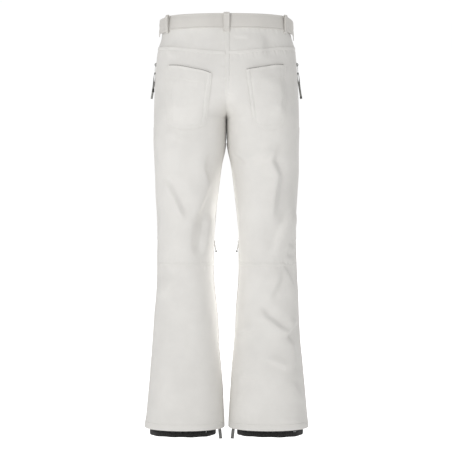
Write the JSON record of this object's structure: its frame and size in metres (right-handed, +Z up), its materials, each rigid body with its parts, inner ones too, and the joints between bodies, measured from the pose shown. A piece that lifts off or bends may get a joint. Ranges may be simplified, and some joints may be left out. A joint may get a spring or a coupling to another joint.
{
  "type": "ski pants",
  "caption": "Flared snow trousers with separate cloth panels, belt loops, patch pockets, side and thigh zips, hem zips, adjuster tabs and inner gaiters.",
  "frame": {"origin": "centre of the waist opening, at half the waistband's height", "axes": "+Z up, +X to the wearer's right, +Y to the wearer's front"},
  "size_m": [0.418, 0.2556, 1.0841],
  "materials": {
    "shell_cloth": "matte laminated twill, off-white",
    "lining": "plain weave lining",
    "gaiter_cloth": "black stretch nylon",
    "zip_tape": "woven zip tape with moulded teeth",
    "steel": "satin nickel",
    "pull_webbing": "grey webbing pull"
  },
  "bodies": {
    "trousers": {"adjuster_pad_left": "lining", "adjuster_pad_right": "lining", "back_calf_left": "shell_cloth", "back_calf_right": "shell_cloth", "back_pocket_left": "shell_cloth", "back_pocket_right": "shell_cloth", "back_thigh_left": "shell_cloth", "back_thigh_right": "shell_cloth", "back_yoke_left": "shell_cloth", "back_yoke_right": "shell_cloth", "belt_loop_back_left": "shell_cloth", "belt_loop_back_right": "shell_cloth", "belt_loop_centre_back": "shell_cloth", "belt_loop_front_left": "shell_cloth", "belt_loop_front_right": "shell_cloth", "fly_shield": "lining", "fly_zip": "zip_tape", "front_knee_left": "shell_cloth", "front_knee_right": "shell_cloth", "front_shin_left": "shell_cloth", "front_shin_right": "shell_cloth", "front_thigh_left": "shell_cloth", "front_thigh_right": "shell_cloth", "gaiter_elastic_left": "gaiter_cloth", "gaiter_elastic_right": "gaiter_cloth", "gaiter_left": "gaiter_cloth", "gaiter_right": "gaiter_cloth", "hand_pocket_zip_left": "zip_tape", "hand_pocket_zip_right": "zip_tape", "hem_zip_left": "zip_tape", "hem_zip_right": "zip_tape", "pocket_bag_left": "lining", "pocket_bag_right": "lining", "snap_stud_inner": "steel", "snap_stud_outer": "steel", "thigh_vent_zip_left": "zip_tape", "thigh_vent_zip_right": "zip_tape", "waistband": "shell_cloth", "waistband_facing": "lining"},
    "hand_pocket_slider_left": {"hand_pocket_slider_left": "steel"},
    "hand_pocket_pull_left": {"hand_pocket_pull_left": "pull_webbing"},
    "thigh_vent_slider_left": {"thigh_vent_slider_left": "steel"},
    "thigh_vent_pull_left": {"thigh_vent_pull_left": "pull_webbing"},
    "hem_slider_left": {"hem_slider_left": "steel"},
    "hem_pull_left": {"hem_pull_left": "pull_webbing"},
    "hand_pocket_slider_right": {"hand_pocket_slider_right": "steel"},
    "hand_pocket_pull_right": {"hand_pocket_pull_right": "pull_webbing"},
    "thigh_vent_slider_right": {"thigh_vent_slider_right": "steel"},
    "thigh_vent_pull_right": {"thigh_vent_pull_right": "pull_webbing"},
    "hem_slider_right": {"hem_slider_right": "steel"},
    "hem_pull_right": {"hem_pull_right": "pull_webbing"},
    "fly_slider": {"fly_slider": "steel"},
    "fly_pull": {"fly_pull": "pull_webbing"},
    "waist_tab": {"waist_tab": "shell_cloth", "snap_cap_inner": "steel", "snap_cap_outer": "steel"},
    "adjuster_tab_left": {"adjuster_tab_left": "shell_cloth"},
    "gaiter_hook_left": {"gaiter_hook_left": "steel"},
    "adjuster_tab_right": {"adjuster_tab_right": "shell_cloth"},
    "gaiter_hook_right": {"gaiter_hook_right": "steel"}
  },
  "joints": [
    {"name": "hand_pocket_zip_slide_left", "type": "slide", "parent": "trousers", "child": "hand_pocket_slider_left", "axis": [-0.0427, 0, -0.9991], "range_m": [0, 0.145]},
    {"name": "hand_pocket_pull_swing_left", "type": "hinge", "parent": "hand_pocket_slider_left", "child": "hand_pocket_pull_left", "pos_m": [-0.18195, 0.00015, -0.09931], "axis": [0, 1, 0], "range_deg": [0, 150]},
    {"name": "thigh_vent_zip_slide_left", "type": "slide", "parent": "trousers", "child": "thigh_vent_slider_left", "axis": [0.085, 0.0199, 0.9962], "range_m": [0, 0.14]},
    {"name": "thigh_vent_pull_swing_left", "type": "hinge", "parent": "thigh_vent_slider_left", "child": "thigh_vent_pull_left", "pos_m": [-0.02994, 0.02355, -0.5523], "axis": [0.174, -0.9847, 0.0049], "range_deg": [0, 150]},
    {"name": "hem_zip_slide_left", "type": "slide", "parent": "trousers", "child": "hem_slider_left", "axis": [-0.0572, -0.0033, 0.9984], "range_m": [0, 0.12]},
    {"name": "hem_pull_swing_left", "type": "hinge", "parent": "hem_slider_left", "child": "hem_pull_left", "pos_m": [-0.01976, 0.0538, -1.01007], "axis": [0.5584, -0.8291, 0.0292], "range_deg": [0, 150]},
    {"name": "hand_pocket_zip_slide_right", "type": "slide", "parent": "trousers", "child": "hand_pocket_slider_right", "axis": [0.0427, 0, -0.9991], "range_m": [0, 0.145]},
    {"name": "hand_pocket_pull_swing_right", "type": "hinge", "parent": "hand_pocket_slider_right", "child": "hand_pocket_pull_right", "pos_m": [0.18195, 0.00015, -0.09931], "axis": [0, -1, 0], "range_deg": [0, 150]},
    {"name": "thigh_vent_zip_slide_right", "type": "slide", "parent": "trousers", "child": "thigh_vent_slider_right", "axis": [-0.085, 0.0199, 0.9962], "range_m": [0, 0.14]},
    {"name": "thigh_vent_pull_swing_right", "type": "hinge", "parent": "thigh_vent_slider_right", "child": "thigh_vent_pull_right", "pos_m": [0.02994, 0.02355, -0.5523], "axis": [0.174, 0.9847, -0.0049], "range_deg": [0, 150]},
    {"name": "hem_zip_slide_right", "type": "slide", "parent": "trousers", "child": "hem_slider_right", "axis": [0.0572, -0.0033, 0.9984], "range_m": [0, 0.12]},
    {"name": "hem_pull_swing_right", "type": "hinge", "parent": "hem_slider_right", "child": "hem_pull_right", "pos_m": [0.01976, 0.0538, -1.01007], "axis": [0.5584, 0.8291, -0.0292], "range_deg": [0, 150]},
    {"name": "fly_zip_slide", "type": "slide", "parent": "trousers", "child": "fly_slider", "axis": [0, 0.0134, -0.9999], "range_m": [0, 0.1]},
    {"name": "fly_pull_swing", "type": "hinge", "parent": "fly_slider", "child": "fly_pull", "pos_m": [0, 0.11282, -0.03444], "axis": [1, 0, 0], "range_deg": [0, 150]},
    {"name": "waist_tab_fold", "type": "hinge", "parent": "trousers", "child": "waist_tab", "pos_m": [0.03, 0.10912, 0], "axis": [0, 0, -1], "range_deg": [0, 95]},
    {"name": "adjuster_fold_left", "type": "hinge", "parent": "trousers", "child": "adjuster_tab_left", "pos_m": [-0.1588, -0.05, -0.008], "axis": [0, 0, 1], "range_deg": [0, 90]},
    {"name": "gaiter_hook_swing_left", "type": "hinge", "parent": "trousers", "child": "gaiter_hook_left", "pos_m": [-0.1115, 0.0768, -1.033], "axis": [1, 0, 0], "range_deg": [0, 90]},
    {"name": "adjuster_fold_right", "type": "hinge", "parent": "trousers", "child": "adjuster_tab_right", "pos_m": [0.1588, -0.05, -0.008], "axis": [0, 0, -1], "range_deg": [0, 90]},
    {"name": "gaiter_hook_swing_right", "type": "hinge", "parent": "trousers", "child": "gaiter_hook_right", "pos_m": [0.1115, 0.0768, -1.033], "axis": [1, 0, 0], "range_deg": [0, 90]}
  ]
}
